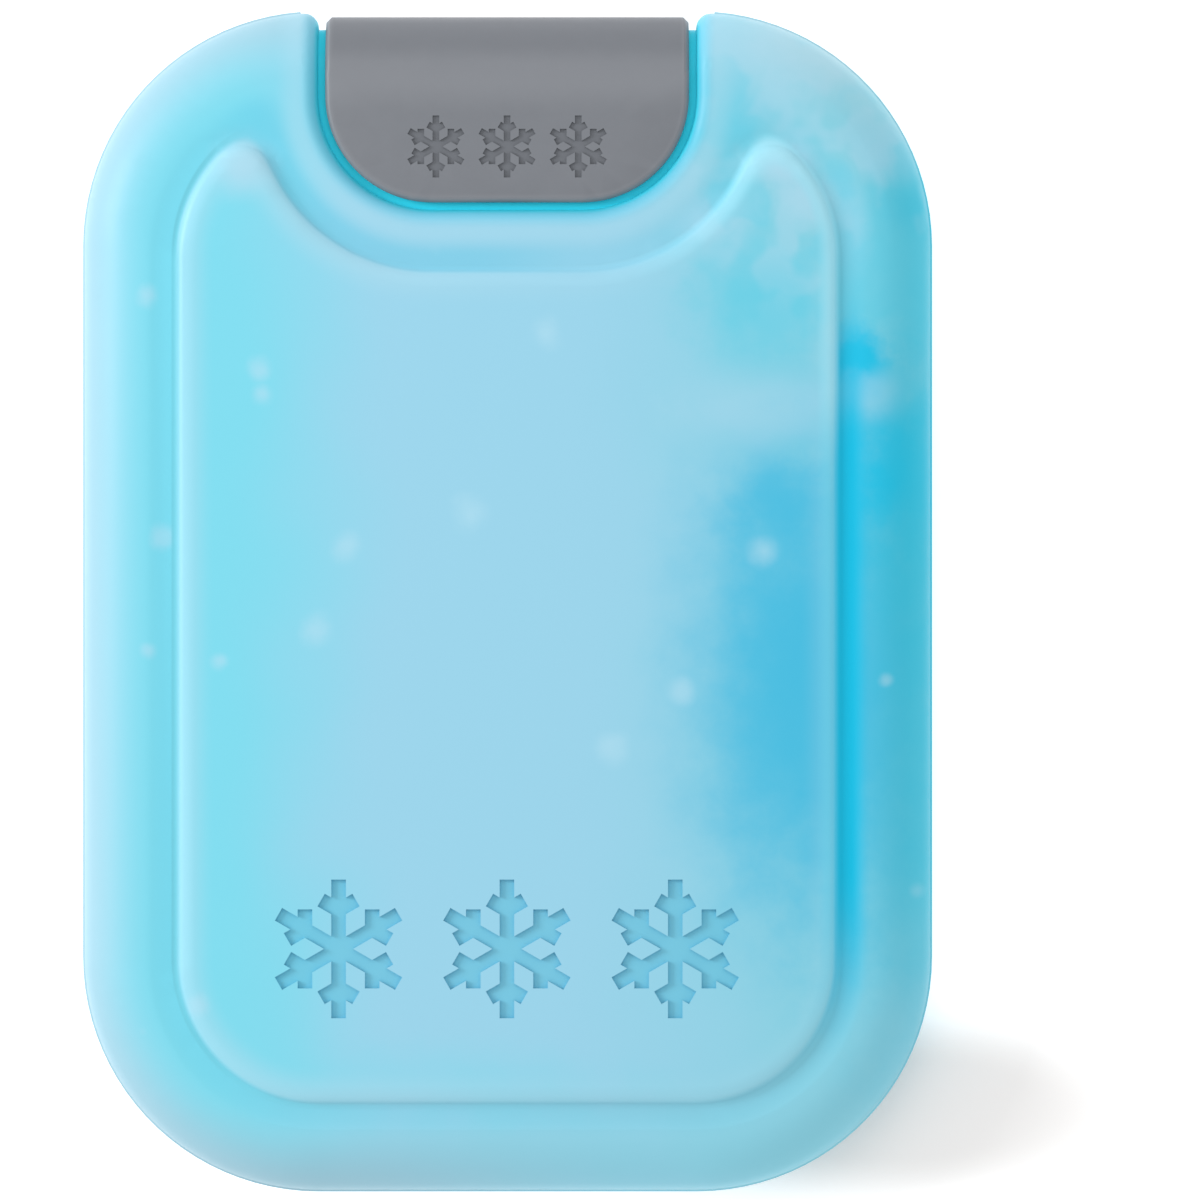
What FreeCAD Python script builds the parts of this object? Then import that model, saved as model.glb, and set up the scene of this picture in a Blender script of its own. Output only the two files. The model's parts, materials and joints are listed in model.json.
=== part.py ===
# Reusable ice pack: a thin blow-moulded sealed pack with a clip-on cover over its fill port.
# The pack lies on its back panel. X runs across the pack, Y along it towards the cover,
# Z is up through its thickness, and the origin is the middle of the bottom.
# All lengths are in millimetres and all angles in degrees.

import FreeCAD
import Part

import math
import os

Vector = FreeCAD.Vector

# Outline of the pack
pack_width = 129.5
pack_length = 180.0
corner_radius = 35.6

# Section through the border
crest_thickness = 14.6
edge_roll = 9.6
nose_share = 0.75
parting_bead_height = 0.25
parting_bead_width = 1.1
parting_bead_top = 0.4
parting_bead_end_gap = 0.5

# Raised panel on each face
panel_rise = 1.2
side_border = 14.35
bottom_border = 13.35
top_border = 14.75
panel_bottom_radius = 21.4
panel_top_radius = 23.0
panel_ear_radius = 5.0
panel_wall_draft = 25.0
panel_edge_reach = 2.2
wall_edge_share = 0.5
wall_foot_share = 0.38
valley_depth = 0.45
valley_width = 3.6

# Clip-on cover
cover_width = 55.2
cover_drop = 29.15
cover_corner_radius = 16.2
cover_wall = 1.85
cover_edge_bevel = 0.8
cover_seat_clearance = 0.1

# Seat of the cover in the pack
recess_depth = 2.6
recess_gap = 1.15
lip_radius = 2.3
lip_foot = 0.25
lip_width = 10.2

# Snap ridges inside the cover's flaps, and their grooves in the pack
snap_length = 9.0
snap_radius = 0.8
snap_bite = 0.5
snap_spacing = 24.0
snap_from_flap_end = 7.0
snap_clearance = 0.12

# Plug of the fill port under the cover
plug_head_radius = 4.2
plug_head_height = 1.6
plug_shank_radius = 2.75
plug_shank_length = 8.0
plug_tip_chamfer = 0.7

# Fill port: a well for the plug's head and a blind bore for its shank
fill_well_side_room = 2.3
fill_well_headroom = 4.9
fill_well_corner = 1.5
fill_bore_clearance = 0.05
fill_bore_end_room = 1.0

# Sunk frost marks: a row of ice crystals on the panel and a small one on the cover
mark_count = 3
mark_arm_count = 6
mark_branch_at = 0.56
mark_branch_length = 0.29
panel_mark_size = 21.0
panel_mark_pitch = 25.5
panel_mark_stroke = 2.2
panel_mark_depth = 0.6
panel_mark_from_bottom = 37.1
cover_mark_size = 9.4
cover_mark_pitch = 10.8
cover_mark_stroke = 1.0
cover_mark_depth = 0.35
cover_mark_from_flap_end = 8.4

# Worked out from the sizes above
half_width = pack_width / 2 - parting_bead_height
half_length = pack_length / 2 - parting_bead_height
crest_level = crest_thickness / 2
panel_level = crest_level + panel_rise
panel_wall = (panel_rise + valley_depth) / math.cos(math.radians(panel_wall_draft))
foot_bevel = wall_foot_share * panel_wall
nose_radius = nose_share * crest_level
crest_radius = (((edge_roll - nose_radius) ** 2 + crest_level ** 2 - nose_radius ** 2)
                / (2 * (crest_level - nose_radius)))
roll_turn = math.atan2(edge_roll - nose_radius, crest_radius - crest_level)
cover_half_width = cover_width / 2
cover_bottom = half_length - cover_drop
recess_half_width = cover_half_width + recess_gap
lip_round = min(lip_radius, recess_depth - lip_foot)
outline_radius = min(corner_radius, half_width - recess_half_width)
seat_offset = recess_depth - cover_seat_clearance
cover_offset = seat_offset - cover_wall
web_level = crest_level - recess_depth
web_top = half_length - recess_depth
well_floor = web_top - fill_well_headroom - plug_head_height

# How far cutting shapes reach past what they cut, and how near counts as touching
overshoot = 1.0
closeness = 1e-4

# Directions
ACROSS = Vector(1, 0, 0)
ALONG = Vector(0, 1, 0)
UP = Vector(0, 0, 1)
MIDDLE = Vector(0, 0, 0)


def line(start, end):
    """A straight edge."""
    return Part.LineSegment(start, end).toShape()


def arc(centre, radius, start_angle, end_angle):
    """A circular edge in the plane of the pack, between two angles."""
    def point(angle):
        turn = math.radians(angle)
        return centre + Vector(math.cos(turn), math.sin(turn), 0) * radius
    middle_angle = (start_angle + end_angle) / 2
    return Part.Arc(point(start_angle), point(middle_angle), point(end_angle)).toShape()


def angle_of(centre, point):
    """The angle of a point seen from a centre."""
    return math.degrees(math.atan2(point.y - centre.y, point.x - centre.x))


def touching_centre(first, first_distance, second, second_distance):
    """The outer point that lies at one distance from each of two centres."""
    between = second.sub(first)
    span = between.Length
    along = (first_distance ** 2 - second_distance ** 2 + span ** 2) / (2 * span)
    aside = math.sqrt(first_distance ** 2 - along ** 2)
    direction = between.normalize()
    return first + direction * along + Vector(direction.y, -direction.x, 0) * aside


def mirrored(edges):
    """The edges on the other side of the pack's long middle line."""
    return [edge.mirror(MIDDLE, ACROSS) for edge in edges]


def closed_by_mirror(right_half):
    """A closed wire from its right half, which runs from the bottom middle to the top middle."""
    return Part.Wire(right_half + mirrored(right_half)[::-1])


def front_and_back(shape):
    """A shape and its mirror image on the other face."""
    return [shape, shape.mirror(MIDDLE, UP)]


def extruded(wire, level):
    """The solid over a flat wire, from a level below the middle plane to the same above it."""
    face = Part.Face(wire)
    face.translate(UP * -level)
    return face.extrude(UP * 2 * level)


def swept(path, section):
    """The solid that a closed section makes along a path in the plane of the pack."""
    sweep = Part.BRepOffsetAPI.MakePipeShell(path)
    sweep.setBiNormalMode(UP)
    sweep.add(section)
    sweep.build()
    sweep.makeSolid()
    return sweep.shape()


def pack_outline(inset):
    """The rounded rectangle of the pack, drawn in by an inset."""
    x = half_width - inset
    y = half_length - inset
    radius = outline_radius - inset
    bottom_centre = Vector(x - radius, radius - y, 0)
    top_centre = Vector(x - radius, y - radius, 0)
    return closed_by_mirror([
        line(Vector(0, -y, 0), Vector(bottom_centre.x, -y, 0)),
        arc(bottom_centre, radius, -90, 0),
        line(Vector(x, bottom_centre.y, 0), Vector(x, top_centre.y, 0)),
        arc(top_centre, radius, 0, 90),
        line(Vector(top_centre.x, y, 0), Vector(0, y, 0)),
    ])


def panel_outline(growth):
    """The foot of the raised panel, grown on all sides: its top edge dips round the cover and
    leaves two ears."""
    x = half_width - side_border + growth
    bottom = bottom_border - half_length - growth
    top = half_length - top_border + growth
    bottom_radius = panel_bottom_radius + growth
    top_radius = panel_top_radius + growth
    ear_radius = panel_ear_radius + growth
    dip_radius = cover_corner_radius + lip_width - growth
    bottom_centre = Vector(x - bottom_radius, bottom + bottom_radius, 0)
    top_centre = Vector(x - top_radius, top - top_radius, 0)
    dip_centre = Vector(cover_half_width - cover_corner_radius, cover_bottom + cover_corner_radius, 0)
    ear_centre = touching_centre(top_centre, top_radius - ear_radius,
                                 dip_centre, dip_radius + ear_radius)
    ear_start = angle_of(top_centre, ear_centre)
    ear_end = angle_of(ear_centre, dip_centre) % 360
    dip_bottom = dip_centre.y - dip_radius
    return closed_by_mirror([
        line(Vector(0, bottom, 0), Vector(bottom_centre.x, bottom, 0)),
        arc(bottom_centre, bottom_radius, -90, 0),
        line(Vector(x, bottom_centre.y, 0), Vector(x, top_centre.y, 0)),
        arc(top_centre, top_radius, 0, ear_start),
        arc(ear_centre, ear_radius, ear_start, ear_end),
        arc(dip_centre, dip_radius, ear_end - 180, -90),
        line(Vector(dip_centre.x, dip_bottom, 0), Vector(0, dip_bottom, 0)),
    ])


def saddle_prism(growth):
    """The shield shape of the cover right through the pack, grown on its sides and open at the top."""
    x = cover_half_width + growth
    bottom = cover_bottom - growth
    top = half_length + overshoot
    radius = cover_corner_radius + growth
    centre = Vector(x - radius, bottom + radius, 0)
    outline = closed_by_mirror([
        line(Vector(0, bottom, 0), Vector(centre.x, bottom, 0)),
        arc(centre, radius, -90, 0),
        line(Vector(x, centre.y, 0), Vector(x, top, 0)),
        line(Vector(x, top, 0), Vector(0, top, 0)),
    ])
    return extruded(outline, panel_level + overshoot)


def edge_section(offset, depth, placed):
    """The closed section of the pack's rounded edge, drawn in by an offset and cut off at a depth.
    A crest arc runs over into the tighter nose arc and back. The placing function turns a distance
    in from the outline and a height over the middle plane into a point."""
    def on_crest(angle):
        radius = crest_radius - offset
        return placed(edge_roll - radius * math.sin(angle),
                      crest_level - crest_radius + radius * math.cos(angle))

    def on_nose(angle):
        radius = nose_radius - offset
        return placed(nose_radius - radius * math.sin(angle), radius * math.cos(angle))
    top_crest = Part.Arc(on_crest(0), on_crest(roll_turn / 2), on_crest(roll_turn)).toShape()
    nose = Part.Arc(on_nose(roll_turn), on_nose(math.pi / 2), on_nose(math.pi - roll_turn)).toShape()
    bottom_crest = top_crest.mirror(MIDDLE, UP)
    level = crest_level - offset
    edges = [top_crest, nose, bottom_crest,
             line(placed(depth, -level), placed(depth, level))]
    if depth > edge_roll:
        edges.insert(0, line(placed(depth, level), placed(edge_roll, level)))
        edges.insert(4, line(placed(edge_roll, -level), placed(depth, -level)))
    return Part.Wire(edges)


def rolled_form(offset):
    """A slab under the cover whose rounded top edge lies inside the pack's own by an offset."""
    depth = cover_drop + recess_gap + overshoot
    half_across = recess_half_width + overshoot

    def placed(inwards, z):
        return Vector(-half_across, half_length - inwards, z)
    return Part.Face(edge_section(offset, depth, placed)).extrude(ACROSS * 2 * half_across)


def pillow():
    """The plain pack: a slab with a soft roll right round its edge."""
    def placed(inwards, z):
        return Vector(0, inwards - half_length, z)
    core = extruded(pack_outline(edge_roll), crest_level)
    return core.fuse(swept(pack_outline(0), edge_section(0, edge_roll, placed)))


def panel_step_section():
    """The air over the border and along the panel's wall. From the outside in, it rests on the
    falling valley, a bevel at the foot, the drafted wall and two bevels that ease the panel's edge.
    Distances run outwards from the foot, and heights up from the crest of the border."""
    draft = math.radians(panel_wall_draft)
    up_the_wall = Vector(-math.sin(draft), math.cos(draft), 0)
    crest = Vector(valley_width, 0, 0)
    foot = Vector(0, -valley_depth, 0)
    valley_end = foot + (crest - foot).normalize() * foot_bevel
    wall_start = foot + up_the_wall * foot_bevel
    edge = foot + up_the_wall * panel_wall
    wall_end = edge - up_the_wall * wall_edge_share * panel_wall
    panel_start = edge - ACROSS * panel_edge_reach
    eased_edge = ((wall_end + panel_start) / 2 + edge) / 2
    air_inside = panel_start + ALONG * overshoot
    air_outside = Vector(valley_width, air_inside.y, 0)

    def placed(corner):
        return Vector(0, bottom_border - half_length - corner.x, crest_level + corner.y)
    corners = [crest, valley_end, wall_start, wall_end, eased_edge, panel_start,
               air_inside, air_outside, crest]
    return Part.makePolygon([placed(corner) for corner in corners])


def rim_edges(shape, prism, inner):
    """The edges where the upright walls of a prism break through a shape's outer surface,
    and none of those on its inner form."""
    def is_upright(face):
        return abs(face.normalAt(0, 0).dot(UP)) < closeness
    walls = Part.Compound([face for face in prism.Faces if is_upright(face)])
    rim = []
    for edge in shape.Edges:
        middle = Part.Vertex(edge.valueAt((edge.FirstParameter + edge.LastParameter) / 2))
        is_wall_corner = edge.BoundBox.XLength + edge.BoundBox.YLength < closeness
        on_walls = middle.distToShape(walls)[0] < closeness
        on_inner = middle.distToShape(inner)[0] < closeness
        if on_walls and not on_inner and not is_wall_corner:
            rim.append(edge)
    return rim


def frost_mark(size, stroke, top, depth):
    """One ice crystal to sink into a flat face: its arms, each with a pair of branches."""
    arm_length = size / 2
    arm_step = 360 / mark_arm_count

    def bar(length, start, angle):
        shape = Part.makeBox(length, stroke, depth + overshoot, Vector(0, -stroke / 2, top - depth))
        shape.rotate(MIDDLE, UP, angle)
        shape.translate(ACROSS * start)
        return shape
    arm = bar(arm_length, 0, 0).multiFuse([
        bar(mark_branch_length * arm_length, mark_branch_at * arm_length, arm_step),
        bar(mark_branch_length * arm_length, mark_branch_at * arm_length, -arm_step),
    ])
    arms = []
    for place in range(mark_arm_count):
        turned = arm.copy()
        turned.rotate(MIDDLE, UP, (place + 1 / 2) * arm_step)
        arms.append(turned)
    return arms[0].multiFuse(arms[1:]).removeSplitter()


def frost_marks(mark, pitch, middle_y):
    """A centred row of copies of a frost mark."""
    marks = []
    for place in range(mark_count):
        copy = mark.copy()
        copy.translate(Vector((place - (mark_count - 1) / 2) * pitch, middle_y, 0))
        marks.append(copy)
    return marks


def snap_ridges(growth):
    """The rounded snap ridges of both flaps, or their grooves when grown by the clearance."""
    length = snap_length + 2 * growth
    y = cover_bottom + snap_from_flap_end
    z = web_level + cover_seat_clearance - snap_bite + snap_radius
    ridges = []
    for side in (-1, 1):
        start = Vector(side * snap_spacing / 2 - length / 2, y, z)
        ridges += front_and_back(Part.makeCylinder(snap_radius + growth, length, start, ACROSS))
    return ridges


def fill_well():
    """The notch in the top of the web that gives the plug's head its room under the cover."""
    half_across = plug_head_radius + fill_well_side_room
    height = crest_thickness
    well = Part.makeBox(2 * half_across, web_top - well_floor + overshoot, height,
                        Vector(-half_across, well_floor, -height / 2))
    floor_corners = [edge for edge in well.Edges
                     if edge.BoundBox.ZLength > height - closeness
                     and edge.CenterOfMass.y < well_floor + closeness]
    return well.makeFillet(fill_well_corner, floor_corners)


def fill_bore():
    """The blind neck under the well that takes the plug's shank."""
    depth = plug_shank_length + fill_bore_end_room
    return Part.makeCylinder(plug_shank_radius + fill_bore_clearance, depth + overshoot,
                             ALONG * (well_floor - depth), ALONG)


def parting_bead():
    """The fine raised seam round the middle, from one shoulder of the recess to the other."""
    bottom_centre = Vector(half_width - outline_radius, outline_radius - half_length, 0)
    top_centre = Vector(bottom_centre.x, half_length - outline_radius, 0)
    shoulder = recess_half_width + lip_round + parting_bead_end_gap
    end_angle = math.degrees(math.acos((shoulder - top_centre.x) / outline_radius))
    right_half = [
        line(Vector(0, -half_length, 0), Vector(bottom_centre.x, -half_length, 0)),
        arc(bottom_centre, outline_radius, -90, 0),
        line(Vector(half_width, bottom_centre.y, 0), Vector(half_width, top_centre.y, 0)),
        arc(top_centre, outline_radius, 0, end_angle),
    ]
    path = Part.Wire(right_half[::-1] + mirrored(right_half))

    def corner(outwards, width, side):
        return Vector(0, -half_length - outwards, side * width / 2)
    section = Part.makePolygon([
        corner(parting_bead_height, parting_bead_top, -1),
        corner(parting_bead_height, parting_bead_top, 1),
        corner(-parting_bead_height, parting_bead_width, 1),
        corner(-parting_bead_height, parting_bead_width, -1),
        corner(parting_bead_height, parting_bead_top, -1),
    ])
    return swept(path, section)


def pack_body():
    """The sealed pack: its panels, recess, seam, snap grooves, fill port and frost marks."""
    notch = saddle_prism(recess_gap)
    web = rolled_form(recess_depth)
    pack = pillow().fuse(extruded(panel_outline(foot_bevel), panel_level))
    pack = pack.cut(front_and_back(swept(panel_outline(0), panel_step_section())))
    pack = pack.cut(notch.cut(web)).removeSplitter()
    pack = pack.makeFillet(lip_round, rim_edges(pack, notch, web))
    pack = pack.fuse(parting_bead())
    mark = frost_mark(panel_mark_size, panel_mark_stroke, panel_level, panel_mark_depth)
    marks = frost_marks(mark, panel_mark_pitch, panel_mark_from_bottom - half_length)
    return pack.cut(snap_ridges(snap_clearance) + [fill_well(), fill_bore()] + marks)


def cap_cover():
    """The saddle-shaped cover: a thin wall over the top with a flap down each face."""
    inner = rolled_form(seat_offset)
    outline = saddle_prism(0)
    cover = rolled_form(cover_offset).common(outline)
    cover = cover.makeChamfer(cover_edge_bevel, rim_edges(cover, outline, inner))
    mark = frost_mark(cover_mark_size, cover_mark_stroke, crest_level - cover_offset, cover_mark_depth)
    marks = frost_marks(mark, cover_mark_pitch, cover_bottom + cover_mark_from_flap_end)
    return cover.cut([inner] + marks).fuse(snap_ridges(0))


def fill_plug():
    """The push-in plug of the fill port: a round head on a plain shank with a chamfered tip."""
    head = Part.makeCylinder(plug_head_radius, plug_head_height, ALONG * well_floor, ALONG)
    shank_end = well_floor - plug_shank_length
    shank = Part.makeCylinder(plug_shank_radius, plug_shank_length, ALONG * shank_end, ALONG)
    tip = [edge for edge in shank.Edges if edge.CenterOfMass.y < shank_end + closeness]
    return head.fuse(shank.makeChamfer(plug_tip_chamfer, tip)).removeSplitter()


def export(name, shape):
    """Lift a piece so that the pack lies on the ground, check it and write it."""
    solid = shape.Solids[0]
    if len(shape.Solids) > 1 or not solid.isValid():
        raise ValueError(f"{name} is not one sound solid")
    solid.translate(UP * panel_level)
    solid.exportStep(f"parts/{name}.step")


os.makedirs("parts", exist_ok=True)
export("pack_body", pack_body())
export("cap_cover", cap_cover())
export("fill_plug", fill_plug())
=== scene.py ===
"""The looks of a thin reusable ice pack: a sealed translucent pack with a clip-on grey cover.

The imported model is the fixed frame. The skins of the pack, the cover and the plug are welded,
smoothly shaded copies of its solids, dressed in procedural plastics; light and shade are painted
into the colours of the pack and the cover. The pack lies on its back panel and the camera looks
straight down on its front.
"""

import json
import logging
import math
from dataclasses import dataclass
from enum import Enum

import bpy
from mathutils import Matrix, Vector

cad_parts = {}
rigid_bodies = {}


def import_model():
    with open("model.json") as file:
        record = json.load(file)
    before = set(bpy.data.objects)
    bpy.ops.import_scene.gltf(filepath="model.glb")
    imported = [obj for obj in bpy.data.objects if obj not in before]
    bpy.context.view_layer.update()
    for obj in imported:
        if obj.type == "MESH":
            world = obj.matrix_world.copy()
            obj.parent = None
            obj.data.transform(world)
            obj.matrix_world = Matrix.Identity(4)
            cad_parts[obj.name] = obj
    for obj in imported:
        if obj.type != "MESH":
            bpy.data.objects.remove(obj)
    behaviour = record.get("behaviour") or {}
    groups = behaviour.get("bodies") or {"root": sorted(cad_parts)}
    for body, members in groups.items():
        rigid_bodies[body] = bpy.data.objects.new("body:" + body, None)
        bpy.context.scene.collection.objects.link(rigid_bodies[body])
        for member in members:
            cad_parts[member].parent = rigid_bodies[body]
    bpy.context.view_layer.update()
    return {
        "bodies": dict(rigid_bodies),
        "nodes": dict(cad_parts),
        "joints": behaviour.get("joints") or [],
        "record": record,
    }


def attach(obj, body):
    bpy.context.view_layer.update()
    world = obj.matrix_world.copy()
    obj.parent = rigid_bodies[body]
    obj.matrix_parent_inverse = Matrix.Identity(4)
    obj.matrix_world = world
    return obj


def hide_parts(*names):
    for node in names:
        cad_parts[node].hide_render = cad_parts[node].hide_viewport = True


log = logging.getLogger("ice_pack")

ROOT_BODY = "root"
MM = 0.001
NOISE_MIDDLE = 0.5

# A Mix node's sockets for colours: the factor, the colour under, the colour over, and the result.
MIX_INPUTS = (0, 6, 7)
MIX_RESULT = 2


class Node(Enum):
    """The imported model's nodes."""

    PACK = "pack_body"
    COVER = "cap_cover"
    PLUG = "fill_plug"


class Slot(Enum):
    """The record's material slots."""

    PACK = "pack_plastic"
    COVER = "cover_plastic"
    PLUG = "plug_plastic"


class Tint(Enum):
    """A named linear colour."""

    def rgba(self) -> tuple[float, float, float, float]:
        """The colour with full opacity."""
        return (*self.value, 1.0)


class Ice(Tint):
    """The tints of the frozen pack: the filling's own colours and the painted light and shade over
    it.
    """

    CYAN = (0.188, 0.632, 0.762)
    MILKY = (0.292, 0.592, 0.745)
    HAZE = (0.222, 0.582, 0.695)
    AQUA = (0.125, 0.565, 0.710)
    # Teal of some clouds in the filling, and painted shade in the valley beside the panel and in
    # the cover's seat.
    BLUE = (0.055, 0.465, 0.685)
    TEAL = (0.040, 0.490, 0.680)
    # Clear ice of some clouds in the filling, and painted shade in the groove right of the panel.
    CLEAR_ICE_AND_GROOVE_SHADE = (0.001, 0.485, 0.730)
    # Painted highlight along the panel's edge and on the lip round the cover.
    PALE = (0.380, 0.640, 0.760)
    # Painted light: the paler, greyer rim on the lit left side.
    RIM = (0.315, 0.520, 0.620)
    # Painted shade: the deeper rim on the shaded right side.
    SHADE = (0.035, 0.530, 0.700)
    # Painted light: the paler rim at the upper right shoulder.
    PAINTED_CREST_LIGHT = (0.520, 0.700, 0.780)
    # Painted shade at the foot of the panel's wall on the far left.
    PAINTED_FOOT_SHADE = (0.140, 0.510, 0.620)
    # Painted glow on the panel's walls on the shaded side.
    GLOW = (0.090, 0.700, 0.930)
    # Painted light on the panel's wall at the upper right.
    PAINTED_WALL_LIGHT = (0.440, 0.790, 0.880)
    FROST = (0.375, 0.630, 0.760)
    FLECK = (0.400, 0.665, 0.790)
    # Painted shade on the floors of the sunk marks.
    PAINTED_DEEP_SHADE = (0.130, 0.500, 0.665)
    # Painted glow in the gap beside the cover.
    PAINTED_GAP_GLOW = (0.018, 0.740, 0.920)


class Grey(Tint):
    """The tints of the cover: its mottled grey, its painted highlight and its painted shade."""

    BASE = (0.188, 0.200, 0.222)
    SHADE = (0.170, 0.181, 0.202)
    # Painted highlight: the sheen across the flap and along its edge.
    PAINTED_SHEEN = (0.245, 0.257, 0.282)
    # Painted shade along the flap's top and in the sunk marks.
    PAINTED_DEEP_SHADE = (0.130, 0.140, 0.158)


class Natural(Tint):
    """The tints of the plug."""

    PALE = (0.62, 0.76, 0.82)
    CLOUDY = (0.50, 0.68, 0.76)


class White(Tint):
    """The tints of the floor and of what it and its surround give off."""

    PURE = (1.0, 1.0, 1.0)
    DULL = (0.90, 0.90, 0.90)
    BRIGHT = (0.92, 0.92, 0.92)
    GLOW = (0.50, 0.50, 0.50)
    FAINT_GLOW = (0.05, 0.03, 0.02)


class Graph:
    """A node tree under construction, with short ways to add and join its nodes."""

    def __init__(self, tree: bpy.types.NodeTree) -> None:
        """Empties a tree and starts on it.

        Args:
            tree: The tree to fill.
        """
        self.tree = tree
        tree.nodes.clear()

    def add(self, kind: str, *values: object, **settings: object) -> bpy.types.Node:
        """Adds a node.

        Args:
            kind: Its type name.
            values: What its first inputs get, in order.
            settings: Its properties.

        Returns:
            The node.
        """
        node = self.tree.nodes.new(kind)
        for name, value in settings.items():
            setattr(node, name, value)
        for socket, value in zip(node.inputs, values):
            self.feed(socket, value)
        return node

    def feed(self, socket: bpy.types.NodeSocket, value: object) -> None:
        """Gives an input its value.

        Args:
            socket: The input.
            value: The output to join it to, or a constant.
        """
        if isinstance(value, bpy.types.NodeSocket):
            self.tree.links.new(value, socket)
        else:
            socket.default_value = value

    def math(self, operation: str, *values: object) -> bpy.types.NodeSocket:
        """A number worked out from others."""
        return self.add("ShaderNodeMath", *values, operation=operation).outputs[0]

    def smooth(self, value: object, start: object, end: object,
               high: object = 1.0) -> bpy.types.NodeSocket:
        """A smooth step of a value, from 0 at start to high at end."""
        return self.add("ShaderNodeMapRange", value, start, end, 0.0, high,
                        interpolation_type="SMOOTHSTEP").outputs[0]

    def mix(self, factor: object, under: object, over: object) -> bpy.types.NodeSocket:
        """Lays one colour over another.

        Args:
            factor: How much of the upper one shows.
            under: The lower one.
            over: The upper one.

        Returns:
            The colour.
        """
        node = self.add("ShaderNodeMix", data_type="RGBA")
        for index, value in zip(MIX_INPUTS, (factor, under, over)):
            self.feed(node.inputs[index], value)
        return node.outputs[MIX_RESULT]

    def noise(self, vector: object, scale: object, detail: float = 2.0,
              roughness: float = 0.5) -> bpy.types.NodeSocket:
        """A smooth noise.

        Args:
            vector: Where it is read.
            scale: Its scale.
            detail: How many finer layers it has.
            roughness: How strong they are.

        Returns:
            The noise, between 0 and 1.
        """
        node = self.add("ShaderNodeTexNoise")
        for name, value in (("Vector", vector), ("Scale", scale), ("Detail", detail),
                            ("Roughness", roughness)):
            self.feed(node.inputs[name], value)
        return node.outputs["Fac"]

    def reach(self, place: object, stretch: object, shift: object) -> bpy.types.NodeSocket:
        """How far a place lies from zero once it is stretched and shifted."""
        shaped = self.add("ShaderNodeVectorMath", place, stretch, shift, operation="MULTIPLY_ADD")
        return self.add("ShaderNodeVectorMath", shaped.outputs[0],
                        operation="LENGTH").outputs["Value"]

    def group(self, tree: bpy.types.NodeTree, **values: object) -> bpy.types.Node:
        """Places a node group.

        Args:
            tree: The group.
            values: Its inputs, named in small letters with underscores for spaces.

        Returns:
            The node.
        """
        node = self.add("ShaderNodeGroup", node_tree=tree)
        for name, value in values.items():
            self.feed(node.inputs[name.replace("_", " ").capitalize()], value)
        return node


@dataclass(frozen=True)
class Port:
    """A group's input or output.

    Attributes:
        name: What the group calls it.
        kind: The socket's type name.
        is_output: True for an output.
        default: An input's usual value.
    """

    name: str
    kind: str = "NodeSocketFloat"
    is_output: bool = False
    default: object = None


def new_group(name: str, ports: list[Port]) -> tuple[Graph, bpy.types.Node, bpy.types.Node]:
    """Starts a shader node group.

    Args:
        name: The group's name.
        ports: Its inputs and outputs, in order.

    Returns:
        The graph, its input node and its output node.
    """
    tree = bpy.data.node_groups.new(name, "ShaderNodeTree")
    graph = Graph(tree)
    for port in ports:
        side = "OUTPUT" if port.is_output else "INPUT"
        socket = tree.interface.new_socket(name=port.name, in_out=side, socket_type=port.kind)
        if port.default is not None:
            socket.default_value = port.default
    return graph, graph.add("NodeGroupInput"), graph.add("NodeGroupOutput")


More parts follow.
